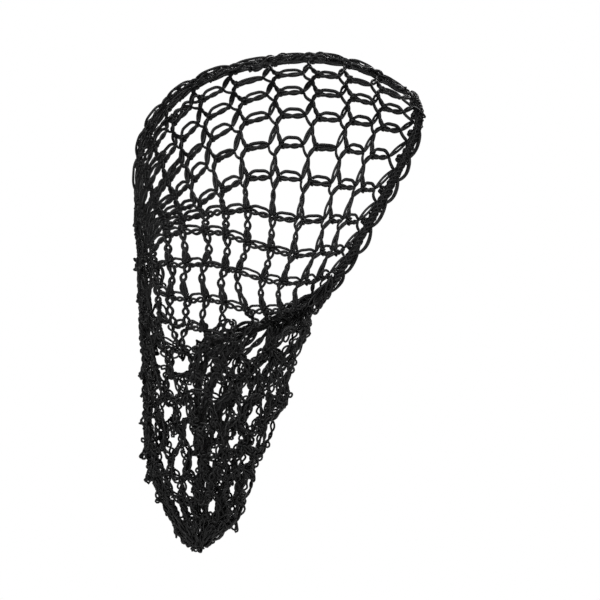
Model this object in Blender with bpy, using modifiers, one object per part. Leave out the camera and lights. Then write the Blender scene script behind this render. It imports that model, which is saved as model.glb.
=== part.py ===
# Crocheted snood hairnet in its worn form: an open mesh bag, the elastic band round its
# mouth, and the stitch that draws its tip together.
#
# Frame, in metres: +X is the way the wearer faces, +Y is the wearer's left, +Z is up, and
# the origin is the spot inside the crown that rests on top of the head.
#
# The net is worked in rounds, from the band to the tip. A place on it is given by two
# counts: "around", the radial it lies on, from 0 over the forehead and down the back of
# the head to half way at the nape, and "along", the round it lies on, from 0 at the band.

import bpy
import bmesh
import math
import numpy as np
from collections import namedtuple

# Sizes of the worn net, to the middle of its wall
WORN_DEPTH = 0.2065
WORN_WIDTH = 0.154
WORN_HEIGHT = 0.350

# The net's own make
RADIALS = 28
ROUNDS = 24
CELL_WIDTH = 0.022
CELL_HEIGHT = 0.023
NET_WALL = 0.002
BAR_WIDTH = 0.004
CORNER_FILL = 0.0012
FOLD_SHARE = 0.22
FOLD_FADE = 4

# Band round the mouth
BAND_WIDTH = 0.010
BAND_THICKNESS = 0.0045
BAND_CLEARANCE = 0.0004

# Drawn-up tip
TIP_RADIUS = 0.005
TIP_CONE = 0.0035
TIP_DROP = 0.0060
TIP_CLEARANCE = 0.0004
TIP_PLUG_HEIGHT = 0.002
TIP_SIDES = 16

# Worn form. Each row is one round, at the count "along". It gives five stations on the
# wearer's right half, the left being its mirror: top (middle of the crown and back),
# crown, side, lobe (slack beside the neck) and nape (middle of the front wall). x is the
# share of the depth in front of the origin, y the share of half the width, and z the
# share of the height below the origin. A sixth station rounds the channel for the neck.
WornRound = namedtuple(
    "WornRound",
    "along top_x top_z crown_x crown_y crown_z side_x side_y side_z "
    "lobe_x lobe_y lobe_z nape_x nape_z",
)
WORN_ROUNDS = (
    WornRound(0, 0.373, 0.074, 0.383, 0.66, 0.154, 0.168, 0.96, 0.390, -0.105, 0.63, 0.545, -0.342, 0.600),
    WornRound(2, 0.169, 0.010, 0.186, 0.77, 0.132, 0.095, 0.99, 0.406, -0.100, 0.78, 0.604, -0.342, 0.632),
    WornRound(4, -0.081, 0.006, -0.054, 0.78, 0.118, -0.088, 1.00, 0.388, -0.088, 0.78, 0.660, -0.339, 0.664),
    WornRound(6, -0.345, 0.050, -0.285, 0.73, 0.164, -0.241, 0.97, 0.366, -0.112, 0.68, 0.712, -0.336, 0.696),
    WornRound(8, -0.512, 0.146, -0.431, 0.61, 0.244, -0.376, 0.90, 0.412, -0.138, 0.60, 0.752, -0.336, 0.728),
    WornRound(10, -0.545, 0.258, -0.515, 0.56, 0.322, -0.450, 0.84, 0.474, -0.156, 0.54, 0.788, -0.332, 0.764),
    WornRound(13, -0.536, 0.412, -0.525, 0.53, 0.484, -0.420, 0.78, 0.594, -0.176, 0.45, 0.832, -0.329, 0.808),
    WornRound(17, -0.514, 0.628, -0.500, 0.46, 0.668, -0.370, 0.60, 0.744, -0.198, 0.34, 0.888, -0.325, 0.868),
    WornRound(21, -0.484, 0.845, -0.462, 0.30, 0.868, -0.340, 0.36, 0.896, -0.236, 0.20, 0.938, -0.322, 0.930),
)
# Radials of the six stations, as shares of the way from the top to the nape
STATION_SHARES = (0.0, 4 / 14, 8 / 14, 12 / 14, 13 / 14, 1.0)
# Place of the sixth, on the way from the nape to the lobe, in x, y and z
CHANNEL_SHARES = (0.30, 0.66, 0.40)
# Middle of the drawn-up tip, as shares of the depth and the height
TIP_X = -0.338
TIP_Z = 0.979

# Cells that the head stretches open, on each half, for each round from the band
OPEN_CELLS = (8, 8, 9, 9, 9, 9, 8)
# Rounds at which the slack net past them has a row of points
SLACK_ROWS = (8, 9, 10, 11, 12.5, 14, 15.5, 17, 18.5, 20, 21.5, 23, 24)

COLUMNS = 2 * RADIALS


def smooth_through(knots, rows, at):
    """Values at the counts "at" of a smooth curve through the rows, which stand at the knots.

    Each stretch is a cubic. Its slope at a knot is that of the parabola through the knot
    and its two neighbours.
    """
    knots = np.asarray(knots, float)
    gap = np.diff(knots)[:, None, None]
    slope = np.diff(rows, axis=0) / gap
    inner = (slope[:-1] * gap[1:] + slope[1:] * gap[:-1]) / (gap[:-1] + gap[1:])
    slopes = np.concatenate([slope[:1], inner, slope[-1:]])
    stretch = np.clip(np.searchsorted(knots, at, side="right") - 1, 0, len(knots) - 2)
    width = gap[stretch]
    t = ((at - knots[stretch]) / np.diff(knots)[stretch])[:, None, None]
    return (
        (2 * t**3 - 3 * t**2 + 1) * rows[stretch]
        + (t**3 - 2 * t**2 + t) * width * slopes[stretch]
        + (3 * t**2 - 2 * t**3) * rows[stretch + 1]
        + (t**3 - t**2) * width * slopes[stretch + 1]
    )


def tip_round(radius, height):
    """The stations on a level ring round the tip."""
    angles = math.pi * np.array(STATION_SHARES)
    x = TIP_X * WORN_DEPTH - radius * np.cos(angles)
    y = -radius * np.sin(angles)
    return np.stack([x, y, np.full(len(angles), height)], axis=1)


def station_rounds():
    """The rounds' counts and their stations as points: rounds by stations by x, y, z."""
    counts = []
    points = []
    for row in WORN_ROUNDS:
        lobe = np.array((row.lobe_x, row.lobe_y, row.lobe_z))
        nape = np.array((row.nape_x, 0, row.nape_z))
        shares = np.array([
            (row.top_x, 0, row.top_z),
            (row.crown_x, row.crown_y, row.crown_z),
            (row.side_x, row.side_y, row.side_z),
            lobe,
            nape + (lobe - nape) * CHANNEL_SHARES,
            nape,
        ])
        counts.append(row.along * ROUNDS / 24)
        points.append(shares * (WORN_DEPTH, -WORN_WIDTH / 2, -WORN_HEIGHT))
    tip_height = -TIP_Z * WORN_HEIGHT
    counts += [ROUNDS * 23 / 24, ROUNDS]
    points += [tip_round(2 * TIP_RADIUS, tip_height + TIP_CONE), tip_round(TIP_RADIUS, tip_height)]
    return np.array(counts), np.array(points)


def worn_grid(around, along):
    """Points of the net's middle surface: one row for each count along, one column for each around."""
    counts, stations = station_rounds()
    rows = smooth_through(counts, stations, np.asarray(along, float))
    right = rows.transpose(1, 0, 2)
    left = right[-2:0:-1] * (1, -1, 1)
    loop = np.concatenate([right, left])
    right_at = np.array(STATION_SHARES) * RADIALS / 2
    loop_at = np.concatenate([right_at, RADIALS - right_at[-2:0:-1]])
    wrapped = np.concatenate([loop[-3:], loop, loop[:3]])
    wrapped_at = np.concatenate([loop_at[-3:] - RADIALS, loop_at, loop_at[:3] + RADIALS])
    return smooth_through(wrapped_at, wrapped, np.asarray(around, float) % RADIALS).transpose(1, 0, 2)


def unit(vectors):
    return vectors / np.linalg.norm(vectors, axis=-1, keepdims=True)


def outward(grid):
    """Outward normals of a grid whose columns close into a loop."""
    across = np.roll(grid, -1, axis=1) - np.roll(grid, 1, axis=1)
    down = np.gradient(grid, axis=0)
    return unit(np.cross(across, down))


def folded(grid, counts):
    """The grid with the folds that its slack makes, one for every two radials.

    Where the worn cells are smaller than the net's own, the wall swings in and out by a
    share of what is left over, and never tighter than its thickness lets it bend. The
    band holds the first rounds smooth.
    """
    spacing = np.linalg.norm(np.roll(grid, -1, axis=1) - np.roll(grid, 1, axis=1), axis=2)
    length = np.linalg.norm(np.gradient(grid, counts, axis=0), axis=2)
    slack = FOLD_SHARE * np.sqrt(np.maximum(CELL_WIDTH * CELL_HEIGHT - spacing * length, 0))
    tightest = 0.6 * spacing**2 / (math.pi**2 * NET_WALL / 2)
    fade = np.clip(counts / FOLD_FADE, 0, 1) ** 2
    depth = np.minimum(slack, tightest) * fade[:, None]
    wave = np.cos(math.pi * np.arange(COLUMNS) / 2)
    return grid + (depth * wave)[:, :, None] * outward(grid)


def row_counts():
    """Counts along at which the net has points: two for each open round, then the slack rows."""
    head = np.arange(0, len(OPEN_CELLS) + 0.25, 0.5)
    return np.concatenate([head, SLACK_ROWS]) * ROUNDS / 24


def material(name, colour, roughness, sheen):
    made = bpy.data.materials.new(name)
    made.use_nodes = True
    shader = made.node_tree.nodes["Principled BSDF"]
    shader.inputs["Base Color"].default_value = (*colour, 1)
    shader.inputs["Roughness"].default_value = roughness
    shader.inputs["Metallic"].default_value = 0
    shader.inputs["Sheen Weight"].default_value = sheen
    made.diffuse_color = (*colour, 1)
    return made


def add_object(name, bm, finish, collection, smooth_angle=60):
    mesh = bpy.data.meshes.new(name)
    bm.to_mesh(mesh)
    bm.free()
    mesh.materials.append(finish)
    mesh.shade_smooth()
    mesh.set_sharp_from_angle(angle=math.radians(smooth_angle))
    made = bpy.data.objects.new(name, mesh)
    collection.objects.link(made)
    return made


def net_bag(collection):
    """The mesh bag: one wall from the band to the tip, cut through where the head opens its cells."""
    counts = row_counts()
    rows = len(counts)
    points = folded(worn_grid(np.arange(COLUMNS) / 2, counts), counts)

    bm = bmesh.new()
    bmesh.ops.create_grid(bm, x_segments=COLUMNS, y_segments=rows - 1, size=1)
    place = {}
    for vertex in bm.verts:
        column = round((vertex.co.x + 1) / 2 * COLUMNS)
        row = round((vertex.co.y + 1) / 2 * (rows - 1))
        vertex.co = points[row, column % COLUMNS]
        place[row, column] = vertex

    # An open cell is four faces made one round their middle point, then cut to its bars
    middles = []
    corners = set()
    for number, across in enumerate(OPEN_CELLS):
        row = 2 * number + 1
        for cell in range(across):
            for column in (2 * cell + 1, COLUMNS - 2 * cell - 1):
                middles.append(place[row, column])
                corners |= {place[row + i, column + j] for i in (-1, 1) for j in (-1, 1)}
    open_faces = {face for vertex in middles for face in vertex.link_faces}
    solid_faces = set(bm.faces) - open_faces
    bmesh.ops.dissolve_verts(bm, verts=middles)
    open_faces = [face for face in bm.faces if face not in solid_faces]
    corner_rays = [[loop.vert in corners for loop in face.loops] for face in open_faces]
    bmesh.ops.inset_individual(bm, faces=open_faces, thickness=BAR_WIDTH / 2, use_even_offset=True)
    for face, at_corner in zip(open_faces, corner_rays):
        middle = face.calc_center_median()
        for loop, is_corner in zip(face.loops, at_corner):
            if is_corner:
                inward = middle - loop.vert.co
                loop.vert.co += inward.normalized() * CORNER_FILL
    bmesh.ops.delete(bm, geom=open_faces, context="FACES")
    bmesh.ops.remove_doubles(bm, verts=bm.verts, dist=1e-6)
    bmesh.ops.recalc_face_normals(bm, faces=bm.faces)

    cord = material("black_rayon_cord", (0.012, 0.012, 0.013), 0.55, 0.3)
    made = add_object("net_bag", bm, cord, collection)
    wall = made.modifiers.new("wall", "SOLIDIFY")
    wall.thickness = NET_WALL
    wall.offset = 0
    return made


def edge_band(collection):
    """The elastic band: a rounded flat section carried round the net's mouth."""
    edge, next_round = worn_grid(np.arange(COLUMNS) / 2, [0, 0.25])
    normal = outward(np.stack([edge, next_round]))[0]
    tangent = unit(np.roll(edge, -1, axis=0) - np.roll(edge, 1, axis=0))
    ahead = unit(np.cross(tangent, normal))
    ahead *= np.sign(np.sum(ahead * (edge - next_round), axis=1))[:, None]

    half_width = BAND_WIDTH / 2
    half_thick = BAND_THICKNESS / 2
    round_off = 0.55
    section = [
        (-half_width, -half_thick * round_off),
        (-half_width, half_thick * round_off),
        (-half_width * round_off, half_thick),
        (half_width * round_off, half_thick),
        (half_width, half_thick * round_off),
        (half_width, -half_thick * round_off),
        (half_width * round_off, -half_thick),
        (-half_width * round_off, -half_thick),
    ]
    centre = edge + ahead * (BAND_CLEARANCE + half_width)
    rings = np.stack([centre + ahead * out + normal * up for out, up in section], axis=1)

    bm = bmesh.new()
    sides = len(section)
    vertices = [bm.verts.new(point) for point in rings.reshape(-1, 3)]
    for i in range(COLUMNS):
        for j in range(sides):
            here, there = i * sides, (i + 1) % COLUMNS * sides
            after = (j + 1) % sides
            bm.faces.new([vertices[here + j], vertices[there + j], vertices[there + after], vertices[here + after]])
    bmesh.ops.recalc_face_normals(bm, faces=bm.faces)
    elastic = material("black_covered_elastic", (0.010, 0.010, 0.011), 0.6, 0.2)
    return add_object("edge_band", bm, elastic, collection)


def tip_gather(collection):
    """The drawn-up tip: a small turned knot under the net's last round, with a plug inside it."""
    plug = TIP_RADIUS - NET_WALL / 2 - TIP_CLEARANCE
    seat = -NET_WALL / 2 - TIP_CLEARANCE
    profile = [
        (0, TIP_PLUG_HEIGHT),
        (plug, TIP_PLUG_HEIGHT),
        (plug, seat),
        (TIP_RADIUS, seat),
        (TIP_RADIUS * 0.95, -TIP_DROP * 0.5),
        (TIP_RADIUS * 0.6, -TIP_DROP * 0.87),
        (0, -TIP_DROP),
    ]
    bm = bmesh.new()
    vertices = [bm.verts.new((radius, 0, height)) for radius, height in profile]
    for first, second in zip(vertices, vertices[1:]):
        bm.edges.new((first, second))
    knot = material("black_rayon_knot", (0.012, 0.012, 0.013), 0.6, 0.2)
    made = add_object("tip_gather", bm, knot, collection)
    made.location = (TIP_X * WORN_DEPTH, 0, -TIP_Z * WORN_HEIGHT)
    turn = made.modifiers.new("turn", "SCREW")
    turn.steps = TIP_SIDES
    turn.render_steps = TIP_SIDES
    turn.use_merge_vertices = True
    turn.merge_threshold = 0.00001
    return made


def main():
    for old in list(bpy.data.objects):
        bpy.data.objects.remove(old, do_unlink=True)
    collection = bpy.data.collections.new("hairnet")
    bpy.context.scene.collection.children.link(collection)
    net_bag(collection)
    edge_band(collection)
    tip_gather(collection)


main()
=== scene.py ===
import math
import bpy
import numpy as np
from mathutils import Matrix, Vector


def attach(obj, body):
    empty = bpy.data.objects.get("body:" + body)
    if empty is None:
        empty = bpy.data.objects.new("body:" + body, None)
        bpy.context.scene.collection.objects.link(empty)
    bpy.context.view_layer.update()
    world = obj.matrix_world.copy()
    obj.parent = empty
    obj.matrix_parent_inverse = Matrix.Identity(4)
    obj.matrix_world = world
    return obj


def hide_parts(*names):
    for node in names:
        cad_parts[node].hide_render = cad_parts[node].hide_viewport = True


# Crocheted snood hairnet, held up in its worn form.
# +X is its front, +Y its left and +Z up as it is worn, in metres.

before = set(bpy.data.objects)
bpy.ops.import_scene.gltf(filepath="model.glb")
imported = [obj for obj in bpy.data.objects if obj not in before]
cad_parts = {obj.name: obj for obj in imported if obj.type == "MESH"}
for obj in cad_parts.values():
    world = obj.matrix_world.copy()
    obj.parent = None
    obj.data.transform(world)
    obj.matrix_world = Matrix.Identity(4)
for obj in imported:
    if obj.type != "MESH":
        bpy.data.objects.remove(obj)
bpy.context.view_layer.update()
rng = np.random.default_rng(28)
mm = 0.001


# Worn surface: the smooth form that the net, the band and the tip all follow
worn = dict(
    depth=0.2065,              # front of the band to the back of the net
    width=0.154,
    height=0.350,              # crown to tip
    radials=28,                # counts around, from 0 at the middle of the crown back to it
    rounds=24,                 # counts along, from 0 at the band to the tip
    tipX=-0.338,               # share of the depth
    tipZ=0.979,                # share of the height
    tipRadius=5 * mm,
    tipCone=3.5 * mm,
)
halfRadials = worn["radials"] // 2

# Each row is one round: its count along, then its stations top x z, crown x y z, side x y z,
# and on the second line hip x y z, front x y z, fold x y z, under x z,
# as shares of the depth forward, half the width and the height downward
wornRounds = np.array([
    [0, .373, .074, .383, .66, .154, .168, .96, .390,
     .074, .89, .475, .009, .79, .511, -.105, .63, .545, -.342, .600],
    [2, .169, .010, .186, .77, .132, .080, .99, .394,
     .005, .98, .500, .054, .93, .538, -.090, .78, .604, -.342, .632],
    [4, -.081, .006, -.054, .78, .118, -.088, 1.0, .388,
     -.104, .97, .512, -.014, .92, .604, -.088, .78, .660, -.339, .664],
    [6, -.345, .050, -.285, .73, .164, -.241, .97, .366,
     -.240, .89, .508, -.044, .80, .672, -.112, .68, .712, -.336, .696],
    [8, -.512, .146, -.431, .61, .244, -.376, .90, .412,
     -.362, .80, .548, -.092, .72, .724, -.138, .60, .752, -.336, .728],
    [10, -.545, .258, -.515, .56, .322, -.462, .84, .440,
     -.400, .72, .610, -.132, .65, .778, -.156, .54, .788, -.332, .764],
    [13, -.536, .412, -.525, .53, .484, -.450, .78, .590,
     -.340, .68, .720, -.166, .56, .824, -.176, .45, .832, -.329, .808],
    [17, -.514, .628, -.500, .46, .668, -.375, .60, .744,
     -.280, .52, .825, -.183, .44, .872, -.198, .34, .888, -.325, .868],
    [21, -.484, .845, -.462, .30, .868, -.340, .36, .896,
     -.275, .31, .920, -.223, .26, .934, -.236, .20, .938, -.322, .930],
])
stationAt = np.array([0, 4, 8, 10, 11, 12, 13, 14])   # count around of each; the one at 13 is worked out
channelShares = (0.30, 0.66, 0.40)                    # its place on the way from under to the fold


def smoothThrough(knots, rows, at):
    # cubic through the rows at the knots, its slope at each that of the parabola through three
    knots = np.asarray(knots, float)
    gap = np.diff(knots)[:, None, None]
    slope = np.diff(rows, axis=0) / gap
    inner = (slope[:-1] * gap[1:] + slope[1:] * gap[:-1]) / (gap[:-1] + gap[1:])
    slopes = np.concatenate([slope[:1], inner, slope[-1:]])
    stretch = np.clip(np.searchsorted(knots, at, side="right") - 1, 0, len(knots) - 2)
    width = gap[stretch]
    t = ((at - knots[stretch]) / np.diff(knots)[stretch])[:, None, None]
    return ((2 * t**3 - 3 * t**2 + 1) * rows[stretch] + (t**3 - 2 * t**2 + t) * width * slopes[stretch]
            + (3 * t**2 - 2 * t**3) * rows[stretch + 1] + (t**3 - t**2) * width * slopes[stretch + 1])


def tipRound(radius, height):
    # level ring round the tip: middle + radius * (-cos, -sin) of the angle from the back
    angles = math.pi * stationAt / halfRadials
    x = worn["tipX"] * worn["depth"] - radius * np.cos(angles)
    return np.stack([x, -radius * np.sin(angles), np.full(len(angles), height)], axis=1)


def stationPoints():
    # counts along, and places = share * (depth, -width / 2, -height) with the tip's two rounds
    table = wornRounds[:, 1:]
    middle = np.zeros(len(table))
    top = np.stack([table[:, 0], middle, table[:, 1]], axis=1)
    crown, side, hip, front, fold = (table[:, i:i + 3] for i in (2, 5, 8, 11, 14))
    under = np.stack([table[:, 17], middle, table[:, 18]], axis=1)
    channel = under + (fold - under) * channelShares
    shares = np.stack([top, crown, side, hip, front, fold, channel, under], axis=1)
    points = shares * (worn["depth"], -worn["width"] / 2, -worn["height"])
    tipHeight = -worn["tipZ"] * worn["height"]
    rings = [tipRound(2 * worn["tipRadius"], tipHeight + worn["tipCone"]),
             tipRound(worn["tipRadius"], tipHeight)]
    counts = np.append(wornRounds[:, 0], [worn["rounds"] - 1, worn["rounds"]])
    return counts, np.concatenate([points, rings])


stationCounts, stations = stationPoints()
gridStep = 0.25
gridAlong = np.arange(0, worn["rounds"] + gridStep / 2, gridStep)
gridAround = np.arange(0, worn["radials"], gridStep)


def surfaceGrid():
    # smooth along each station's line, then smooth round each row, the left half mirrored
    rows = smoothThrough(stationCounts, stations, gridAlong)
    right = rows.transpose(1, 0, 2)
    loop = np.concatenate([right, right[-2:0:-1] * (1, -1, 1)])
    loopAt = np.concatenate([stationAt, worn["radials"] - stationAt[-2:0:-1]])
    wrapped = np.concatenate([loop[-3:], loop, loop[:3]])
    wrappedAt = np.concatenate([loopAt[-3:] - worn["radials"], loopAt, loopAt[:3] + worn["radials"]])
    return smoothThrough(wrappedAt, wrapped, gridAround).transpose(1, 0, 2)


def unit(vectors):
    return vectors / np.maximum(np.linalg.norm(vectors, axis=-1, keepdims=True), 1e-12)


surface = surfaceGrid()
acrossGrid = np.roll(surface, -1, axis=1) - np.roll(surface, 1, axis=1)
surfaceNormal = unit(np.cross(np.gradient(surface, axis=0), acrossGrid))


def onSurface(grid, around, along):
    # bilinear between the grid's four nearest points
    column = np.asarray(around, float) / gridStep
    row = np.clip(np.asarray(along, float), 0, worn["rounds"]) / gridStep
    i = np.clip(np.floor(row).astype(int), 0, len(grid) - 2)
    j = np.floor(column).astype(int)
    a = (row - i)[..., None]
    b = (column - j)[..., None]
    j, jNext = j % grid.shape[1], (j + 1) % grid.shape[1]
    upper = (1 - b) * grid[i, j] + b * grid[i, jNext]
    lower = (1 - b) * grid[i + 1, j] + b * grid[i + 1, jNext]
    return (1 - a) * upper + a * lower


print("worn surface ready")


def addObject(name, data):
    made = bpy.data.objects.new(name, data)
    bpy.context.scene.collection.objects.link(made)
    return made


# Cord as tubes
def carriedFrames(paths):
    # a side vector carried along every path at once, turned as little as possible
    tangent = unit(np.gradient(paths, axis=1))
    seed = np.where(np.abs(tangent[:, 0, 2:3]) < 0.8, (0.0, 0.0, 1.0), (1.0, 0.0, 0.0))
    side = np.empty_like(paths)
    side[:, 0] = unit(np.cross(tangent[:, 0], seed))
    for i in range(1, paths.shape[1]):
        carried = side[:, i - 1]
        carried = carried - np.sum(carried * tangent[:, i], axis=1, keepdims=True) * tangent[:, i]
        side[:, i] = unit(carried)
    return side, np.cross(tangent, side)


class Yarn:
    # gathers strands, each n paths of m points, and makes one mesh of them
    def __init__(self, sides=5):
        self.sides = sides
        self.points, self.quads, self.caps, self.marks = [], [], [], []
        self.count = 0

    def add(self, paths, radius, taper=0.35):
        # ring point = path + radius * (side cos a + up sin a); both ends narrowed and closed
        paths = np.asarray(paths, float)
        if len(paths) == 0:
            return
        n, m = paths.shape[:2]
        side, up = carriedFrames(paths)
        angle = 2 * math.pi * np.arange(self.sides) / self.sides
        thick = np.full(m, radius, float)
        thick[[0, -1]] *= taper
        around = side[:, :, None] * np.cos(angle)[:, None] + up[:, :, None] * np.sin(angle)[:, None]
        rings = paths[:, :, None] + around * thick[:, None, None]
        length = np.cumsum(np.linalg.norm(np.diff(paths, axis=1, prepend=paths[:, :1]), axis=2), axis=1)
        # for the material: the angle round the cord and the length along it
        mark = np.empty((n, m, self.sides, 3))
        mark[..., 0] = np.cos(angle)
        mark[..., 1] = np.sin(angle)
        mark[..., 2] = (length + rng.random((n, 1)) * 0.05)[:, :, None]
        index = self.count + np.arange(n * m * self.sides).reshape(n, m, self.sides)
        after = np.roll(index, -1, axis=2)
        quads = np.stack([index[:, :-1], after[:, :-1], after[:, 1:], index[:, 1:]], axis=-1)
        self.quads.append(quads.reshape(-1, 4))
        self.caps += [index[:, 0, ::-1], index[:, -1]]
        self.points.append(rings.reshape(-1, 3))
        self.marks.append(mark.reshape(-1, 3))
        self.count += n * m * self.sides

    def closedLoop(self, path, radius):
        # a strand whose end meets its start
        ring = np.concatenate([path, path[:1]])
        self.add(ring[None], radius, taper=1.0)

    def piece(self, name, finish, node, slot):
        # one mesh of all strands, in place of the CAD node
        points = np.concatenate(self.points).astype(np.float32)
        quads = np.concatenate(self.quads)
        caps = np.concatenate(self.caps)
        mesh = bpy.data.meshes.new(name)
        mesh.vertices.add(len(points))
        mesh.vertices.foreach_set("co", points.ravel())
        mesh.loops.add(quads.size + caps.size)
        corners = np.concatenate([quads.ravel(), caps.ravel()])
        mesh.loops.foreach_set("vertex_index", corners.astype(np.int32))
        mesh.polygons.add(len(quads) + len(caps))
        starts = np.concatenate([np.arange(len(quads)) * 4, quads.size + np.arange(len(caps)) * self.sides])
        mesh.polygons.foreach_set("loop_start", starts.astype(np.int32))
        mark = mesh.attributes.new("yarn", "FLOAT_VECTOR", "POINT")
        mark.data.foreach_set("vector", np.concatenate(self.marks).astype(np.float32).ravel())
        mesh.update(calc_edges=True)
        mesh.validate()
        mesh.shade_smooth()
        mesh.materials.append(finish)
        made = addObject(name, mesh)
        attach(made, "root")
        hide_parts(node)
        print(name, 2 * len(quads) + (self.sides - 2) * len(caps), "triangles")


# Materials of the cord
cordLook = dict(
    fibre=0.35 * mm,           # real ones are about 0.02 mm: drawn as coarse as they need to show
    dyePatch=9 * mm,
    relief=0.2 * mm,
    reliefStrength=0.35,
    fibreShare=0.25,           # of the relief, beside the ridges of the ply
    smoother=0.08,             # how far the roughness goes below its middle value, and above it
    rougher=0.12,
    sheenRoughness=0.4,
    specular=0.24,
)


def linear(code):
    # sRGB hex to linear
    channels = np.array([int(code[i:i + 2], 16) for i in (1, 3, 5)]) / 255
    steep = ((channels + 0.055) / 1.055) ** 2.4
    return tuple(np.where(channels <= 0.04045, channels / 12.92, steep)) + (1.0,)


def setInputs(tree, made, inputs):
    # each input as a value or as a link from another node
    for name, value in inputs.items():
        if isinstance(value, bpy.types.NodeSocket):
            tree.links.new(value, made.inputs[name])
        else:
            made.inputs[name].default_value = value


def node(tree, kind, inputs=None, **settings):
    # one node with its settings and inputs
    made = tree.nodes.new(kind)
    for name, value in settings.items():
        setattr(made, name, value)
    setInputs(tree, made, inputs or {})
    return made


def material(name):
    made = bpy.data.materials.new(name)
    made.use_nodes = True
    return made, made.node_tree, made.node_tree.nodes["Principled BSDF"]


def spunYarn(name, dark, light, roughness, sheen, pitch):
    # plied yarn: each turn of the ply is a raised ridge in the relief that catches the light, fine fibres
    # break it up, and the dye is a little uneven along the length; the colour is painted lighter on the
    # ridges, a painted highlight scaled by the uneven dye
    # ridge = |x cos(2 pi z / pitch) - y sin(2 pi z / pitch)| of the strand's own attribute
    made, tree, shader = material(name)
    mark = node(tree, "ShaderNodeAttribute", attribute_name="yarn")
    part = node(tree, "ShaderNodeSeparateXYZ", {"Vector": mark.outputs["Vector"]})
    place = node(tree, "ShaderNodeTexCoord").outputs["Object"]
    turn = node(tree, "ShaderNodeMath", {0: part.outputs["Z"], 1: 2 * math.pi / pitch}, operation="MULTIPLY")
    waves = [node(tree, "ShaderNodeMath", {0: turn.outputs[0]}, operation=wave) for wave in ("COSINE", "SINE")]
    first, second = (node(tree, "ShaderNodeMath", {0: part.outputs[axis], 1: wave.outputs[0]},
                          operation="MULTIPLY") for axis, wave in zip("XY", waves))
    twist = node(tree, "ShaderNodeMath", {0: first.outputs[0], 1: second.outputs[0]}, operation="SUBTRACT")
    ridge = node(tree, "ShaderNodeMath", {0: twist.outputs[0]}, operation="ABSOLUTE")
    fibre = node(tree, "ShaderNodeTexNoise", {"Vector": place, "Scale": 1 / cordLook["fibre"], "Detail": 2.0})
    dye = node(tree, "ShaderNodeTexNoise", {"Vector": place, "Scale": 1 / cordLook["dyePatch"], "Detail": 3.0})
    # painted highlight: the colour goes from dark to light by the uneven dye times the ply's ridge, so the
    # ridges are painted lighter
    dyeAndPaintedHighlight = node(tree, "ShaderNodeMath", {0: dye.outputs["Fac"], 1: ridge.outputs[0]}, operation="MULTIPLY")
    tone = node(tree, "ShaderNodeMix", {"Factor": dyeAndPaintedHighlight.outputs[0], "A": linear(dark), "B": linear(light)},
                data_type="RGBA")
    ramp = node(tree, "ShaderNodeMapRange", {"Value": fibre.outputs["Fac"],
                                             "To Min": roughness - cordLook["smoother"],
                                             "To Max": roughness + cordLook["rougher"]})
    height = node(tree, "ShaderNodeMath", {0: fibre.outputs["Fac"], 1: cordLook["fibreShare"],
                                           2: ridge.outputs[0]}, operation="MULTIPLY_ADD")
    bump = node(tree, "ShaderNodeBump", {"Height": height.outputs[0], "Strength": cordLook["reliefStrength"],
                                         "Distance": cordLook["relief"]})
    setInputs(tree, shader, {"Base Color": tone.outputs["Result"], "Roughness": ramp.outputs["Result"],
                             "Normal": bump.outputs["Normal"], "Sheen Weight": sheen,
                             "Sheen Roughness": cordLook["sheenRoughness"],
                             "Specular IOR Level": cordLook["specular"]})
    return made


# Black viscose (rayon) crochet cord, dyed in the hank: a soft silky gleam on near black, its lighter tone a
# painted highlight on the ply's ridges
rayonCord = spunYarn("blackRayonCrochetCord", "#020203", "#0b0b0c", 0.42, 0.02, 2.6 * mm)
# The same cord worked tightly over covered elastic: duller, because the stitches break the gleam, with a
# slightly darker painted highlight on its ridges
elasticCord = spunYarn("blackRayonOverElastic", "#020203", "#0a0a0b", 0.5, 0.02, 2.2 * mm)
print("materials ready")


# Crossings and links of the net. Radials run from the band over the crown to the back, and rounds
# cross them. A bar is a radial's piece between two rounds, a line a round's piece between two radials.
net = dict(
    seed=5,
    rounds=10,                 # rounds of the crown, before the chains of the tail take over
    lastRadial=11,             # radials 0, the middle of the crown, to 11, at the fold, on each side
    foldRadial=10,             # from this one on the bars to the band cross the fold
    bar=23 * mm,               # length of a bar between two rounds
    line=22 * mm,              # length of a round's line between two radials
    cordRadius=0.9 * mm,
    tailRadius=0.79 * mm,      # the slack cord of the tail is softer and looks thinner
    roundAt=(1, 2, 3, 4, 5, 6, 7, 8, 9, 10.2),
    cutAt=(0, 0, 0, 0, 0, 0, 0, 0, 0, 0, 1, 5),      # rounds of each radial that the band cuts off
    bandEnds=(0, 1, 2, 3, 4, 5, 6, 6.95, 7.8, 8.9, 10, 12.4),   # where each radial meets the band
    runOn=0.9,                 # a line that is cut off runs on by this share of the one before it
    stray=0.04,                # how far a crossing lies from its place, in counts
    # further chains: count around, how far it strays, and the round that it hangs from
    extraChains=((0.2, 0.2, 0), (0.6, 0.3, 0), (1.0, 0.25, 0), (1.5, 0.3, 6), (2.5, 0.35, 8), (3.5, 0.35, 8)),
    extraLift=(-0.6, 2.8),     # how far they stand off the surface, in mm
    extraRise=1.2 * mm,        # and further near the band
    extraShift=0.8,            # how far their crossings lie from the rounds, in counts
)
# Lower down the side the net is no longer stretched, and its chains turn down. By round:
# the first radial, then x and z of each crossing from there on, in mm
turnedCrossings = {
    5: (11, (-36, -196)),
    6: (6, (-52.5, -92.9), (-49.9, -109), (-49.7, -126), (-49.7, -149), (-49.7, -174.5), (-51.1, -196.5)),
    7: (5, (-72.1, -86), (-67, -102), (-64.2, -111.5), (-63.2, -121), (-63.2, -146), (-63.2, -171),
        (-63.2, -195.5)),
    8: (5, (-84.7, -97), (-81, -107), (-79.6, -114), (-79.1, -122), (-77.2, -145), (-75.4, -169.4),
        (-73.5, -192)),
    9: (5, (-96, -106), (-93.1, -112.5), (-91.4, -118), (-90.3, -124.5), (-88.4, -146), (-87, -168),
        (-85.6, -190)),
    10: (7, (-102, -127), (-100.6, -136), (-99.2, -148), (-97.3, -168.7), (-95.9, -187)),
}


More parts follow.
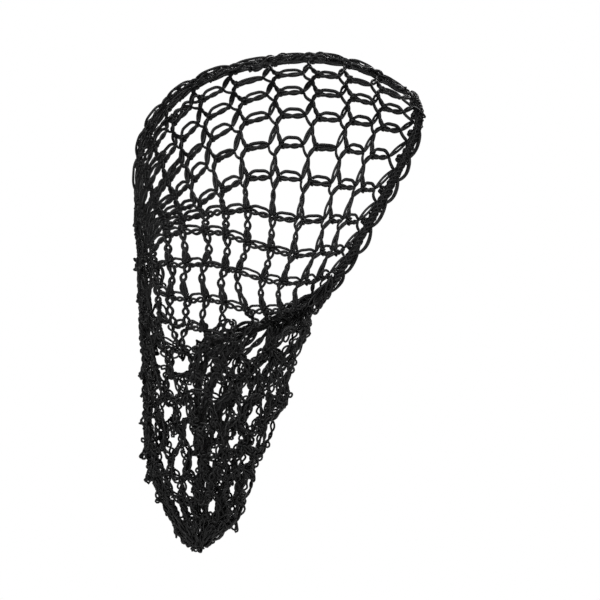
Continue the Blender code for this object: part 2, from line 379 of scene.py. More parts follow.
def placeAt(x, z):
    # (around, along) of the right wall's place nearest to this x and z
    around, along = np.meshgrid(np.arange(3, 11.7, 0.04), np.arange(2, 14, 0.04))
    wall = onSurface(surface, around, along)
    best = np.argmin((wall[..., 0] - x) ** 2 + (wall[..., 2] - z) ** 2)
    return around.flat[best], along.flat[best]


def crownPlaces():
    # (around, along) of every crossing of the right half, row 0 being the band
    rounds, last = net["rounds"], net["lastRadial"]
    places = np.zeros((rounds + 1, last + 1, 2))
    places[:, :, 0] = np.arange(last + 1)
    places[0, :, 0] = net["bandEnds"]
    places[1:, :, 1] = np.array(net["roundAt"])[:, None]
    for r, (first, *spots) in turnedCrossings.items():
        places[r, first:first + len(spots)] = [placeAt(x * mm, z * mm) for x, z in spots]
    return places


def bandCount(point):
    # the count around of the band's place nearest to this point
    counts = np.arange(7, 14, 0.05)
    return counts[np.argmin(np.linalg.norm(onSurface(surface, counts, 0 * counts) - point, axis=1))]


class Web:
    # links as four points each, with their normals, and what the stitches need to know of them
    def __init__(self):
        self.ends, self.bulges, self.rows = [], [], []

    def link(self, start, end, bulge=(0, 0, 0), **row):
        self.ends.append((start, end))
        self.bulges.append(bulge)
        self.rows.append(row)
        return len(self.ends) - 1

    def settle(self, mirror=False):
        # each link's two inner points lie on the surface, moved by the bulge
        ends = np.array(self.ends, float)
        share = np.array([0, 1 / 3, 2 / 3, 1])[None, :, None]
        spots = ends[:, :1] + (ends[:, 1:] - ends[:, :1]) * share
        self.points = onSurface(surface, spots[..., 0], spots[..., 1])
        self.normals = unit(onSurface(surfaceNormal, spots[..., 0], spots[..., 1]))
        straight = self.values("straight") > 0         # across the fold
        direct = self.points[:, :1] + (self.points[:, 3:] - self.points[:, :1]) * share
        self.points[straight] = direct[straight]
        self.normals[straight] = self.normals[straight, :1]
        self.points[:, 1:3] += np.array(self.bulges, float)[:, None]
        if mirror:
            self.points *= (1, -1, 1)
            self.normals *= (1, -1, 1)

    def values(self, name):
        return np.array([row.get(name, 0) for row in self.rows], float)


def crownWeb():
    # every bar, line and crossing of the crown's right half
    places = crownPlaces()
    rounds, last, cut = net["rounds"], net["lastRadial"], net["cutAt"]
    chance = np.random.default_rng(net["seed"])
    places[1:, 1:] += chance.normal(0, net["stray"], places[1:, 1:].shape)
    web = Web()
    bars, lines, crossings = {}, {}, []
    for k in range(last + 1):
        for r in range(cut[k] + 1, rounds + 1):
            toBand = r == cut[k] + 1
            bars[r, k] = web.link(places[r, k], places[0 if toBand else r - 1, k], r=r, k=k,
                                  whole=toBand and k == 0, straight=toBand and k >= net["foldRadial"])
    for r in range(1, rounds + 1):
        for k in range(last):
            if r > cut[k + 1]:
                lines[r, k] = web.link(places[r, k], places[r, k + 1], r=r, k=k)
            elif r > cut[k]:                           # the line runs on to the band
                here, above = (onSurface(surface, *places[r, i]) for i in (k, k - 1))
                end = bandCount(here + net["runOn"] * (here - above))
                lines[r, k] = web.link(places[r, k], (end, 0), r=r, k=k, straight=1)
    edge = [web.link(places[0, k], places[0, k + 1], r=0, k=k, edge=1) for k in range(last)]
    for (r, k), into in bars.items():
        if r > cut[k] + 1:
            parts = (lines.get((r - 1, k - 1)), lines.get((r - 1, k)), into)
        else:                                          # the bar forks onto the band
            parts = (edge[max(k - 1, 0)], edge[min(k, last - 1)], into)
        if None not in parts and k > 0:
            crossings.append(parts)
    # the crown's middle rows draw together into a rope, seen on its edge from the side, and slack
    # chains lie between the rows down the back: each wanders about its own count around
    extra = []
    for middle, stray, first in net["extraChains"]:
        path = middle + chance.uniform(-stray, stray, rounds + 1)
        lift = chance.uniform(*net["extraLift"], rounds + 1) * mm
        lift[1:3] += net["extraRise"]
        shift = chance.uniform(0, net["extraShift"])
        for r in range(first + 1, rounds + 1):
            ends = [(path[i], max(0, places[i, 0, 1] - shift)) for i in (r, r - 1)]
            extra.append(web.link(*ends, (0, 0, lift[r]), r=r, k=middle))
    return web, list(bars.values()), list(lines.values()), crossings, extra


# The tail hangs free: chains run down it to the drawn-up tip, side by side round each level
tail = dict(
    seed=11,
    chains=27,                 # from the middle of the back to the middle of the front wall, on each side
    step=17.5 * mm,            # height between two crossings of a chain, whose links are longer
    levels=(90, 344, 2),       # depths of the levels: first, end and step, in mm
    sideFrom=188 * mm,         # depth at which the chains of the side start
    backX=-98 * mm,            # further back than this they start at the crown's last round
    frontAround=10.5,          # past this count around they hang from the band
    lowest=342 * mm,
    inset=0.5 * mm,            # the chains' middle lies this far inside the surface
    crowd=1.3,                 # above 1 the chains stand closer down the back
    heightStray=2.5 * mm,      # how far a crossing lies from its height
    aroundStray=0.14,          # and to the side, as a share of the chains' spacing
    parting=0.3,               # how far neighbouring chains approach and part by turns, as a share of it
    meander=2.2 * mm,          # how far a link bows to the side, times these shares
    meanderShares=(0.4, 1.4),
    inwards=(-1, 3.5),         # how far a link bows inwards, in mm
    lineShare=0.7,             # share of neighbouring crossings that a line joins
    lineReach=14 * mm,         # it joins none that are further apart in height
    thinFrom=90 * mm,          # height above the tip from which down the lines get fewer
    swag=6.5 * mm,             # how far a line's spare length bows it, times these shares
    swagShares=(0.6, 1.25),
    swagLean=0.35,             # how far the swags lean forward or back, and outwards
    swagOut=(-0.8, 0.3),
    cornerLoops=22,
    cornerFrom=(9.0, 11.6),    # counts around between which they hang from the band
    cornerReach=(9 * mm, 20 * mm),
    cornerLean=-0.42,          # how far back they hang, as a share of the way down
    cornerStray=0.22,
    cornerWide=2.4 * mm,
)
halfAround = np.arange(0, halfRadials + gridStep / 2, gridStep)


def tailLevels():
    # at each depth, the count along at which every line of the surface reaches it for the last
    # time, and how far round the level that is, as a share of its length
    depths = np.arange(*tail["levels"]) * mm
    along = np.empty((len(depths), len(halfAround)))
    for column in range(len(halfAround)):
        depth = np.minimum.accumulate(-surface[::-1, column, 2])[::-1]
        along[:, column] = np.interp(depths, depth, gridAlong)
    points = onSurface(surface, np.broadcast_to(halfAround, along.shape), along)
    steps = np.linalg.norm(np.diff(points, axis=1), axis=2)
    length = np.concatenate([np.zeros((len(depths), 1)), np.cumsum(steps, axis=1)], axis=1)
    return depths, along, length / length[:, -1:]


depths, levelAlong, levelShare = tailLevels()


def tailPlace(share, depth):
    # (around, along) of the place at this share of the level at this depth
    row = int(np.clip(round((depth - depths[0]) / (depths[1] - depths[0])), 0, len(depths) - 1))
    around = np.interp(share, levelShare[row], halfAround)
    return around, np.interp(around, halfAround, levelAlong[row])


def tailWeb(side):
    # chains, the lines between them and the crossings of one side of the tail
    chance = np.random.default_rng(tail["seed"] + (side == "left"))
    count = tail["chains"]
    web = Web()
    bars, lines, knots, chains = [], [], [], []
    for j in range(count + 1):
        share = (j / count) ** tail["crowd"]
        beside = tailPlace(share, tail["sideFrom"])
        start = tail["sideFrom"]
        if beside[0] > tail["frontAround"]:            # the front wall hangs from the band
            start = -onSurface(surface, beside[0], 0)[2]
        elif onSurface(surface, *beside)[0] < tail["backX"]:   # the back, from the crown's last round
            counts = np.array([tailPlace(share, depth)[1] for depth in depths])
            start = min(start, depths[np.argmax(counts > net["roundAt"][-1] - 0.3)])
        steps = max(2, round((tail["lowest"] - start) / tail["step"]))
        heights = np.linspace(start, tail["lowest"], steps + 1)
        heights[1:-1] += chance.normal(0, tail["heightStray"], steps - 1)
        wander = chance.normal(0, tail["aroundStray"], steps + 1) / count
        wander += tail["parting"] / count * (-1.0) ** (np.arange(steps + 1) + steps + j)
        if j in (0, count):
            wander = np.abs(wander) * (1 if j == 0 else -1)
        spots = [tailPlace(share + w, h) for w, h in zip(wander, heights)]
        spots[-1] = (halfRadials * j / count, worn["rounds"])      # drawn together at the tip
        if beside[0] > tail["frontAround"]:
            spots[0] = (beside[0], 0)
        chains.append((heights, spots))
        if side == "left" and j in (0, count):         # the right side has the middle chains
            continue
        row = []
        for i in range(steps):
            a, b = spots[i], spots[i + 1]
            gap = onSurface(surface, *b) - onSurface(surface, *a)
            out = unit(onSurface(surfaceNormal, *a))
            across = unit(np.cross(out, gap))
            fade = 1 if i < steps - 1 else 0.4         # the last link is nearly straight
            bulge = fade * (across * tail["meander"] * chance.uniform(*tail["meanderShares"]) * (-1) ** (i + j)
                            - out * chance.uniform(*tail["inwards"]) * mm)
            row.append(web.link(a, b, bulge))
        bars += row
        knots += list(zip(row[:-1], row[1:]))
    for j in range(count):
        (heights, spots), (nextHeights, nextSpots) = chains[j], chains[j + 1]
        front = spots[0][0] > tail["frontAround"]
        for i in range(0 if front else 1, len(spots) - 1):
            other = int(np.argmin(np.abs(nextHeights - heights[i])))
            thinned = tail["lineShare"] * min(1, (tail["lowest"] - heights[i]) / tail["thinFrom"])
            if i == 0 or front and i < 4:              # every crossing next to the band has its line
                other = min(max(other, i) + 1, len(nextSpots) - 1)
            elif abs(nextHeights[other] - heights[i]) > tail["lineReach"] or chance.random() > thinned:
                continue
            a, b = spots[i], nextSpots[other]
            gap = np.linalg.norm(onSurface(surface, *b) - onSurface(surface, *a))
            out = unit(onSurface(surfaceNormal, *a))
            spare = math.sqrt(max(0, 1 - (gap / net["line"]) ** 2))
            way = unit(np.array([chance.normal(0, tail["swagLean"]), 0, -1])
                       + out * chance.uniform(*tail["swagOut"]))
            lines.append(web.link(a, b, way * spare * tail["swag"] * chance.uniform(*tail["swagShares"])))
    return web, bars, lines, knots


# Stitches of the net
stitch = dict(
    archRise=4.1 * mm,         # thin strand over each bar, with its share of the height along the bar
    arch=((0, .2, .5, .8, 1), (.35, .9, 1, .85, .2)),
    archStands=0.93,           # share of the arches that stand up, and how high the rest are
    archFallen=0.4,
    archLooser=0.35,           # by this share more they rise down the back,
    looserAlong=(3, 3),        # from this round, over this many more
    archUp=0.5,                # share of the rise that the crown's middle row turns outwards
    drop=((0, .25, .6, 1), (-.5, -1.0, -.9, 0)),    # the bar's two lower strands hang below, in mm
    pairOpen=0.72 * mm,        # half their opening
    pairRings=(1.9, 2.4),
    passing=0.55 * mm,         # how far two strands pass in front of and behind each other
    barEnd=0.64,               # where a stretched bar stops short of its round, as a share of its length
    slackEnd=0.88,             # a slack one
    crownEnd=0.97,             # and those of the crown's middle rows
    slackAround=(5.2, 1.6),    # the net slackens from this radial, over this many more,
    slackAlong=(2.2, 2.2),     # where it is also past this round, over this many more,
    slackBelow=(7.5, 1.5),     # and everywhere past this one
    crossAt=0.36,              # where the strands of two crossings meet on a line, as a share of it
    slackCross=0.26,
    crossOut=3.9 * mm,         # how far towards the tip they meet
    bandReach=1.35,            # on the band, which isn't bent, they reach into it
    forkOut=(1.0, 1.4),        # bow of the ring's two strands above a crossing, in mm
    forkIn=(.8, 1.3),
    legOut=(.6, 2.0),          # and of the single one below it
    knotRadius=1.6 * mm,
    tailKnot=1.25 * mm,
    knotTurns=2.1,
    knotRun=0.10,              # share of each link that the knot covers
    fine=0.95,                 # share of the cord's radius in knots and single strands, pulled tight
    ring=1.85 * mm,            # half the opening of a chain's rings where it is slack
    tight=0.7 * mm,            # and where it is stretched
    extraRing=2.0 * mm,        # and in the further chains
    ringLength=8.2 * mm,
    loop=4.8 * mm,             # length of the loops that stand off some of the tail's crossings
    loopWide=2.2 * mm,
    loopShare=0.4,
)


def linkFrame(web, which, s):
    # cubic through the link's four points at shares s; its tangent, normal and side
    s = np.atleast_1d(np.asarray(s, float))
    if s.ndim == 1:
        s = np.broadcast_to(s, (len(which), s.size))
    knots = np.array([0, 1 / 3, 2 / 3, 1])
    basis = np.ones(s.shape + (4,))
    slope = np.zeros(s.shape + (4,))
    for i in range(4):
        others = [j for j in range(4) if j != i]
        scale = np.prod([knots[i] - knots[j] for j in others])
        a, b, c = (s - knots[j] for j in others)
        basis[..., i] = a * b * c / scale
        slope[..., i] = (a * b + b * c + a * c) / scale
    place = np.einsum("nmi,nix->nmx", basis, web.points[which])
    tangent = unit(np.einsum("nmi,nix->nmx", slope, web.points[which]))
    outwards = np.einsum("nmi,nix->nmx", basis, web.normals[which])
    outwards = unit(outwards - np.sum(outwards * tangent, axis=2, keepdims=True) * tangent)
    return place, tangent, outwards, np.cross(outwards, tangent)


def onLink(web, which, s, side, lift):
    # place + across * side + outwards * lift
    place, tangent, outwards, across = linkFrame(web, which, s)
    return place + across * np.asarray(side)[..., None] + outwards * np.asarray(lift)[..., None]


def curveValues(at, values, s):
    # smooth values at shares s through the few given ones
    return smoothThrough(np.asarray(at, float), np.asarray(values, float)[:, None, None], s)[:, 0, 0]


def spread(n, low, high):
    return low + (high - low) * rng.random((n, 1))


def past(values, start, more):
    # 0 up to the start, rising to 1 over this many more
    return np.clip((values - start) / more, 0, 1)


def pairStrands(web, which, s, middle, side, lift):
    # two strands opposite each other: middle +- side, +- lift
    for way in (1, -1):
        yield onLink(web, which, s, middle + way * side, way * lift)


def barStrands(web, which, end, ringed):
    # a thin strand arched over two that open into rings: side = drop + open * sin(pi * rings * s)
    n = len(which)
    r, k = web.values("r")[which, None], web.values("k")[which, None]
    s = np.linspace(0, 1, 16)
    at = 0.01 + s[None] * (end - 0.01)
    arch = curveValues(*stitch["arch"], s) * stitch["archRise"] * spread(n, .75, 1.1)
    stands = np.where(rng.random((n, 1)) < stitch["archStands"], 1, stitch["archFallen"])
    arch = arch * (1 - 0.3 * ringed) * stands * (1 + stitch["archLooser"] * past(r, *stitch["looserAlong"]))
    up = stitch["archUp"] * (k < 0.5)
    yield onLink(web, which, at, arch * (1 - up), 0.5 * mm * np.sin(math.pi * s)[None] + up * arch)
    drop = curveValues(*stitch["drop"], s) * mm * (1 - 0.3 * ringed)
    rings = spread(n, *stitch["pairRings"])
    phase = math.pi * rings * s[None]
    opening = stitch["pairOpen"] * spread(n, .7, 1.25) * (1 + 0.8 * ringed)
    yield from pairStrands(web, which, at, drop, opening * np.sin(phase), stitch["passing"] * np.cos(phase))


def crossOffset(s, ringed):
    # a stretched line bends towards the tip where the strands of its two crossings meet, nearer
    # the upper one: up by s / crossAt, then down by (1 - s) / (1 - crossAt), rounded
    bend = np.minimum(s / stitch["crossAt"], (1 - s) / (1 - stitch["crossAt"]))
    return -stitch["crossOut"] * np.sin(math.pi / 2 * np.clip(bend, 0, 1)) ** 1.1 * (1 - 0.85 * ringed)


def lineStrands(web, which, ringed):
    # two strands round each other, tight where stretched and opened into rings where slack
    n = len(which)
    s = np.linspace(0, 1, 19)
    phase = math.pi * 3 * s[None] * spread(n, .95, 1.05)
    opening = (stitch["tight"] + (stitch["ring"] - stitch["tight"]) * ringed) * spread(n, .85, 1.15)
    yield from pairStrands(web, which, s, crossOffset(s[None], ringed), opening * np.sin(phase),
                           stitch["passing"] * np.cos(phase))


def ringStrands(web, which, rings, opening, roll):
    # a slack chain: offset = opening * sin(pi * rings * s) in a plane that rolls along the link
    n = len(which)
    s = np.linspace(0, 1, 5 * rings + 1)
    phase = math.pi * rings * s[None] + spread(n, -0.4, 0.4)
    angle = spread(n, -roll, roll) + spread(n, -1.4, 1.4) * s[None]
    wide = opening * spread(n, .75, 1.2) * np.sin(phase)
    deep = stitch["passing"] * np.cos(phase)
    yield from pairStrands(web, which, s, 0, wide * np.cos(angle) - deep * np.sin(angle),
                           wide * np.sin(angle) + deep * np.cos(angle))


def bridge(first, last, outwards, bulges, lift):
    # strands from one point to another, bowed to the side by each bulge: chord + bulge * sin
    t = np.linspace(0, 1, 9)
    chord = last - first
    across = unit(np.cross(outwards, chord))
    for bulge in bulges:
        bow = np.sin(math.pi * t)[None, :, None] * (bulge[:, :, None] * across[:, None]
                                                    + lift * outwards[:, None])
        yield first[:, None] + chord[:, None] * t[None, :, None] + bow


def knotStrand(web, above, below, size):
    # a coil of two turns from the end of one link to the start of the next
    n = len(above)
    t = np.linspace(0, 1, 17)
    turn = 2 * math.pi * stitch["knotTurns"] * t
    upper = t < 0.5
    run = stitch["knotRun"]
    path = np.empty((n, len(t), 3))
    radius = size * spread(n, .85, 1.15)
    for part, which, s in ((upper, above, 1 - run + 2 * run * t[upper]),
                           (~upper, below, 2 * run * (t[~upper] - 0.5))):
        side = 0.2 * mm + radius * np.cos(turn[part])
        path[:, part] = onLink(web, which, s, side, radius * 0.85 * np.sin(turn[part]))
    return path


def crownStrands(web, bars, lines, crossings, extra):
    # every strand of these links and crossings, with its share of the cord's radius
    r, k = web.values("r"), web.values("k")
    ringed = past(k, *stitch["slackAround"]) * past(r, *stitch["slackAlong"])
    ringed = np.maximum(ringed, past(r, *stitch["slackBelow"]))[:, None]
    end = stitch["barEnd"] + (stitch["slackEnd"] - stitch["barEnd"]) * ringed
    end = np.where(web.values("whole")[:, None] > 0, 1.0, end)
    end = np.where(k[:, None] < 2, stitch["crownEnd"], end)
    for paths in barStrands(web, bars, end[bars], ringed[bars]):
        yield paths, 1
    for paths in lineStrands(web, lines, ringed[lines]):
        yield paths, 1
    for paths in ringStrands(web, extra, 3, stitch["extraRing"], 3.1):
        yield paths, 1
    yield knotStrand(web, extra[1:], extra[:-1], stitch["knotRadius"])[k[extra[1:]] == k[extra[:-1]]], 1
    above, below, barIn = crossings.T
    yield knotStrand(web, above, below, stitch["knotRadius"]), stitch["fine"]
    # where each bar ends, a ring of two strands goes up to the line above and a single one down
    n = len(above)
    normal = web.normals[barIn, 3]
    loose = ringed[barIn]
    near = stitch["crossAt"] + (stitch["slackCross"] - stitch["crossAt"]) * loose
    far = 1 - stitch["crossAt"] - (stitch["slackCross"] - 0.1) * loose
    barEnd = onLink(web, barIn, end[barIn], 0.1 * mm, 0.3 * mm)[:, 0]
    bent = np.where(web.values("edge")[:, None] > 0, stitch["bandReach"], ringed)
    upper = onLink(web, above, 1 - far, crossOffset(1 - far, bent[above]), 0.2 * mm)[:, 0]
    lower = onLink(web, below, near, crossOffset(near, bent[below]), -0.2 * mm)[:, 0]
    fork = [spread(n, *stitch["forkOut"]) * mm, -spread(n, *stitch["forkIn"]) * mm]
    for paths in bridge(barEnd, upper, normal, fork, 0.5 * mm):
        yield paths, 1
    for paths in bridge(barEnd, lower, normal, [-spread(n, *stitch["legOut"]) * mm], 0.2 * mm):
        yield paths, stitch["fine"]


def leafLoops(start, way, wide, reach, width, samples):
    # leaf-shaped loops: each along its own way by sin, and across it by sin of twice that
    t = np.linspace(0, 1, samples)
    return (start + way * (reach * np.sin(math.pi * t))[..., None]
            + wide * (width * np.sin(2 * math.pi * t))[..., None])


def tailStrands(web, bars, lines, knots):
    rings = round(net["bar"] / stitch["ringLength"])
    for paths in ringStrands(web, bars, rings, stitch["ring"], 0.9):
        yield paths, 1
    for paths in ringStrands(web, lines, rings, stitch["ring"], 1.5):
        yield paths, 1
    yield knotStrand(web, knots[:, 0], knots[:, 1], stitch["tailKnot"]), stitch["fine"]
    # loops off some crossings
    looped = knots[rng.random(len(knots)) < stitch["loopShare"], 1]
    n = len(looped)
    place, tangent, outwards, across = linkFrame(web, looped, [0.0])
    turn = 2 * math.pi * rng.random((n, 1, 1))
    way = unit(across * np.cos(turn) - tangent * np.sin(turn) + outwards * spread(n, -.6, .5)[:, :, None])
    wide = unit(np.cross(outwards, way) + outwards * spread(n, -.8, .8)[:, :, None])
    yield leafLoops(place, way, wide, stitch["loop"] * spread(n, .7, 1.2),
                    stitch["loopWide"] * spread(n, .7, 1.2), 13), 1


def cornerStrands(side):
    # a bunch of long loops hangs from the band at its lower corner
    n = tail["cornerLoops"]
    first, last = tail["cornerFrom"]
    start = onSurface(surface, spread(n, first, last)[:, 0], np.full(n, 0.1))
    way = unit(np.array([tail["cornerLean"], 0, -1]) + rng.normal(0, tail["cornerStray"], (n, 3)))
    wide = unit(np.cross(way, rng.normal(0, 0.4, (n, 3)) + (0, 1, 0)))
    path = leafLoops(start[:, None], way[:, None], wide[:, None], spread(n, *tail["cornerReach"]),
                     tail["cornerWide"] * spread(n, .7, 1.3), 15)
    return path * (1, -1 if side == "left" else 1, 1)


def buildNet():
    # the crown's right half is mirrored to the left, and the tail's sides are made apart
    web, *parts = crownWeb()
    web.settle()
    right, left = Yarn(), Yarn()
    for paths, share in crownStrands(web, *(np.array(part) for part in parts)):
        right.add(paths, net["cordRadius"] * share)
        left.add(paths * (1, -1, 1), net["cordRadius"] * share)
    right.piece("net_crown_right", rayonCord, "net_bag", "net_cord")
    left.piece("net_crown_left", rayonCord, "net_bag", "net_cord")
    for side in ("right", "left"):
        web, *parts = tailWeb(side)
        web.settle(mirror=side == "left")
        web.points -= tail["inset"] * web.normals
        yarn = Yarn()
        for paths, share in tailStrands(web, *(np.array(part) for part in parts)):
            yarn.add(paths, net["tailRadius"] * share)
        yarn.add(cornerStrands(side), net["tailRadius"])
        yarn.piece("net_tail_" + side, rayonCord, "net_bag", "net_cord")


buildNet()


# Band
band = dict(
    clear=1.2 * mm,            # between the net's edge and the rope
    width=5.0 * mm,
    thick=4.8 * mm,
    coreRadius=1.5 * mm,       # covered elastics, this far from the middle
    coreApart=0.9 * mm,
    wrapPitch=5.0 * mm,
    wrapUneven=0.75 * mm,
    slant=3.0 * mm,            # how far a wrap leans along the band
    samples=14,                # points in one wrap
    # chains: place outward and up as shares of the width and thickness, and half their width in mm
    chains=((0.0, 0.5, 1.2), (-0.3, 0.25, 0.8), (0.25, 0.2, 0.8), (0.0, -0.42, 1.2)),
    chainPitch=7.5 * mm,
    chainSamples=8,
    cordRadius=0.73 * mm,
    loops=34,
    loopSpan=(1.1, 1.35),      # length of a loop, times their spacing
    loopOut=5.0 * mm,
    loopCords=(0.0, 1.15),     # its two cords, one this far inside the other, in mm
    tightTo=38 * mm,           # above this depth the loops lie flat against the rope
    freeOver=25 * mm,          # and over this much more they come free
)


def bandFrame(shares):
    # edge of the net, and the directions outward and ahead of it, at these shares of its length
    fine = np.linspace(0, worn["radials"], 2241)[:-1]
    edge = onSurface(surface, fine, np.zeros(len(fine)))
    below = onSurface(surface, fine, np.full(len(fine), 0.25))
    up = unit(onSurface(surfaceNormal, fine, np.zeros(len(fine))))
    ahead = unit(np.cross(unit(np.roll(edge, -1, axis=0) - np.roll(edge, 1, axis=0)), up))
    ahead *= np.sign(np.sum(ahead * (edge - below), axis=1))[:, None]
    steps = np.linalg.norm(np.roll(edge, -1, axis=0) - edge, axis=1)
    length = np.concatenate([[0], np.cumsum(steps)])

    def at(values):
        closed = np.concatenate([values, values[:1]])
        return np.stack([np.interp(shares % 1 * length[-1], length, closed[:, i]) for i in range(3)], axis=-1)

    return at(edge), unit(at(ahead)), unit(at(up)), length[-1]


def alongBand(shares, out, lift):
    # edge + ahead * (middle of the rope + out) + up * lift
    edge, ahead, up, length = bandFrame(shares)
    return edge + ahead * (band["clear"] + band["width"] / 2 + out)[..., None] + up * lift[..., None]


def buildBand():
    length = bandFrame(np.zeros(1))[3]
    turns = round(length / band["wrapPitch"])
    yarn = Yarn()

    # covered elastic inside, seen only between the wraps
    core = Yarn(sides=8)
    flat = np.arange(220) / 220
    for out in (-band["coreApart"], band["coreApart"]):
        core.closedLoop(alongBand(flat, np.full(220, out), np.zeros(220)), band["coreRadius"])

    # cords wrapped round and round, both ways: a flattened circle that leans, uneven from wrap to wrap
    count = turns * band["samples"]
    wrap = np.arange(count) / band["samples"]
    angle = 2 * math.pi * np.arange(count) / band["samples"]
    for way in (1, -1):
        uneven = np.interp(wrap, np.arange(turns), rng.normal(0, 1, turns), period=turns)
        half = band["width"] / 2 - 0.5 * mm + band["wrapUneven"] * uneven
        lean = band["slant"] / length * (1 + 0.3 * uneven) * np.sin(way * angle + 0.6)
        yarn.closedLoop(alongBand(np.arange(count) / count + lean, half * np.cos(angle),
                                  way * (half - 0.1 * mm) * np.sin(angle)), band["cordRadius"])

    # plump chains of stitches on the outer face and both edges: two cords round each other
    count = round(length / band["chainPitch"]) * band["chainSamples"]
    shares = np.arange(count) / count
    for out, lift, size in band["chains"]:
        phase = 2 * math.pi * np.arange(count) / band["chainSamples"] + rng.random() * 6
        wander = 0.5 * mm * np.sin(phase / 3.3 + rng.random() * 6)
        for shift in (0, math.pi):
            side = out * band["width"] + wander + size * mm * np.cos(phase + shift)
            rise = lift * band["thick"] + 0.6 * mm * np.sin(phase + shift)
            yarn.closedLoop(alongBand(shares, side, rise), band["cordRadius"])

    # long loops along the front edge, each two cords bowed out, flat against the rope at the top,
    # widest near their lower end, and the left half's mirrored from the right's
    n = band["loops"] // 2
    t = np.linspace(0, 1, 17)
    starts = (np.arange(n)[:, None] + spread(n, -.12, .12)) / n / 2
    shares = starts + spread(n, *band["loopSpan"]) / n / 2 * t[None]
    depth = -bandFrame(shares)[0][..., 2].mean(axis=1, keepdims=True)
    free = np.clip((depth - band["tightTo"]) / band["freeOver"], 0.12, 1)
    reach = band["loopOut"] * spread(n, .75, 1.1) * free
    for offset in band["loopCords"]:
        bow = np.sin(math.pi * t[None] ** 1.25) ** 0.6 * np.maximum(reach - offset * mm, 0)
        twist = 0.6 * mm * np.sin(2 * math.pi * (1.5 * t + offset))[None]
        paths = alongBand(shares, band["width"] / 2 - 0.9 * mm + bow, twist)
        yarn.add(paths, band["cordRadius"])
        yarn.add(paths * (1, -1, 1), band["cordRadius"])
    core.piece("band_core", elasticCord, "edge_band", "band_elastic")
    yarn.piece("band_stitches", elasticCord, "edge_band", "band_elastic")


buildBand()


# Drawn-up tip
tip = dict(
    cordRadius=0.73 * mm,
    wraps=4,
    wrapTop=3.0,               # the coil's height above the tip's last round, and its length, in mm
    wrapLength=4.5,
    loops=30,
    crowding=0.55,             # how far a loop turns to each side, in radians
    drop=6.5 * mm,             # how far the loops stand below the drawn-up round
)


def buildTip():
    # wraps that draw the last round together: a coil, narrower downwards
    yarn = Yarn()
    middle = np.array([worn["tipX"] * worn["depth"], 0, -worn["tipZ"] * worn["height"]])
    t = np.linspace(0, 1, 80)
    angle = 2 * math.pi * tip["wraps"] * t
    radius = worn["tipRadius"] * (0.9 - 0.5 * t)
    height = (tip["wrapTop"] - tip["wrapLength"] * t) * mm
    coil = np.stack([radius * np.cos(angle), radius * np.sin(angle), height], axis=1)
    yarn.add((middle + coil)[None], tip["cordRadius"])
    # loops of the gathered stitches, crowded into a blunt point: each goes out and down by sin,
    # and from side to side by sin of twice that; the lower ones lie nearer the middle
    n = tip["loops"]
    s = np.linspace(0, 1, 13)
    bow = np.sin(math.pi * s)[None]
    turn = 2 * math.pi * np.arange(n)[:, None] / n + tip["crowding"] * np.sin(2 * math.pi * s)[None]
    low = spread(n, 0, 1)
    out = (1.2 + 2.2 * (1 - low)) * mm + (1.4 + 4.2 * (1 - low)) * mm * bow
    down = (6.0 * (1 - low) + 1.0) * mm - (0.3 + 0.7 * low) * tip["drop"] * bow
    loops = np.stack([out * np.cos(turn), out * np.sin(turn), down], axis=2)
    yarn.add(middle + loops, tip["cordRadius"])
    yarn.piece("tip_stitches", rayonCord, "tip_gather", "net_cord")


buildTip()


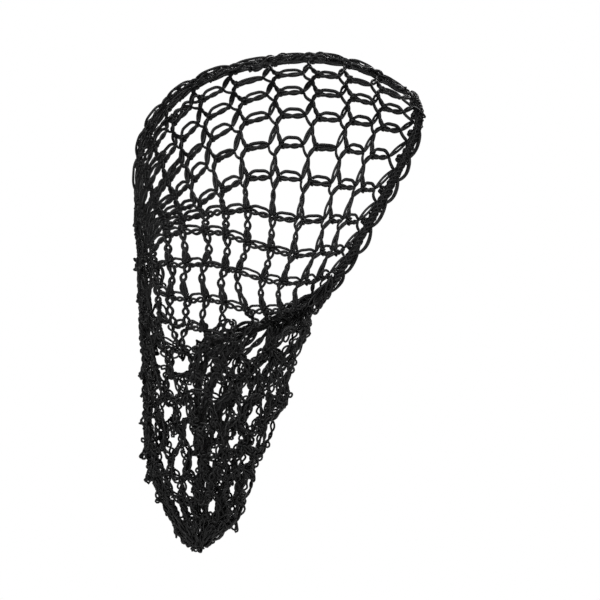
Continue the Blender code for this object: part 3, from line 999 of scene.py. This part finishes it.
# Room, light and camera
room = dict(
    floorHeight=-0.44,
    floorSize=4.0,
    floorTones=("#f0f0ef", "#f6f6f5"),
    floorGrain=25 / 3 * mm,
    floorRoughness=0.9,
    surroundings=0.05,         # strength at which the white paper all round lights the net
    # name, place, size in metres and power in watts
    lights=(("key", (-0.5, -1.7, 1.0), 0.6, 44), ("fill", (1.3, -1.4, 0.2), 0.9, 10),
            ("back", (0.3, 1.6, 0.9), 0.9, 24)),
    distance=18.0,             # far off, with a long lens
    clipEnd=100,
    sensor=36,                 # width in mm
    view=0.42,                 # width of the picture at the net, in metres
    aim=(0.0021, 0, -0.1708),
)


def buildRoom():
    mesh = bpy.data.meshes.new("pale_floor")
    half, z = room["floorSize"] / 2, room["floorHeight"]
    corners = [(-half, -half, z), (half, -half, z), (half, half, z), (-half, half, z)]
    mesh.from_pydata(corners, [], [(0, 1, 2, 3)])
    floor = addObject("pale_floor", mesh)
    # matt studio paper: even, nearly white
    paper, tree, shader = material("whiteStudioPaper")
    place = node(tree, "ShaderNodeTexCoord").outputs["Object"]
    grain = node(tree, "ShaderNodeTexNoise", {"Vector": place, "Scale": 1 / room["floorGrain"]})
    first, second = (linear(tone) for tone in room["floorTones"])
    tone = node(tree, "ShaderNodeMix", {"Factor": grain.outputs["Fac"], "A": first, "B": second},
                data_type="RGBA")
    setInputs(tree, shader, {"Base Color": tone.outputs["Result"], "Roughness": room["floorRoughness"]})
    mesh.materials.append(paper)

    # white paper all round, seen at full strength and lighting the net softly
    world = bpy.data.worlds.new("studio")
    bpy.context.scene.world = world
    world.use_nodes = True
    tree = world.node_tree
    ray = node(tree, "ShaderNodeLightPath").outputs["Is Camera Ray"]
    seen = node(tree, "ShaderNodeMapRange", {"Value": ray, "To Min": room["surroundings"], "To Max": 1.0})
    setInputs(tree, tree.nodes["Background"], {"Color": (1, 1, 1, 1), "Strength": seen.outputs["Result"]})

    for name, place, size, power in room["lights"]:
        light = bpy.data.lights.new(name, "AREA")
        light.size = size
        light.energy = power
        lamp = addObject(name, light)
        lamp.location = place
        lamp.rotation_euler = (Vector(room["aim"]) - lamp.location).to_track_quat("-Z", "Y").to_euler()

    camera = bpy.data.cameras.new("camera")
    camera.sensor_width = room["sensor"]
    camera.lens = room["sensor"] * room["distance"] / room["view"]
    camera.clip_end = room["clipEnd"]
    eye = addObject("camera", camera)
    eye.location = Vector(room["aim"]) - Vector((0, room["distance"], 0))
    eye.rotation_euler = (math.pi / 2, 0, 0)
    bpy.context.scene.camera = eye
    bpy.context.scene.view_settings.view_transform = "Standard"
    print("room, light and camera ready")


buildRoom()
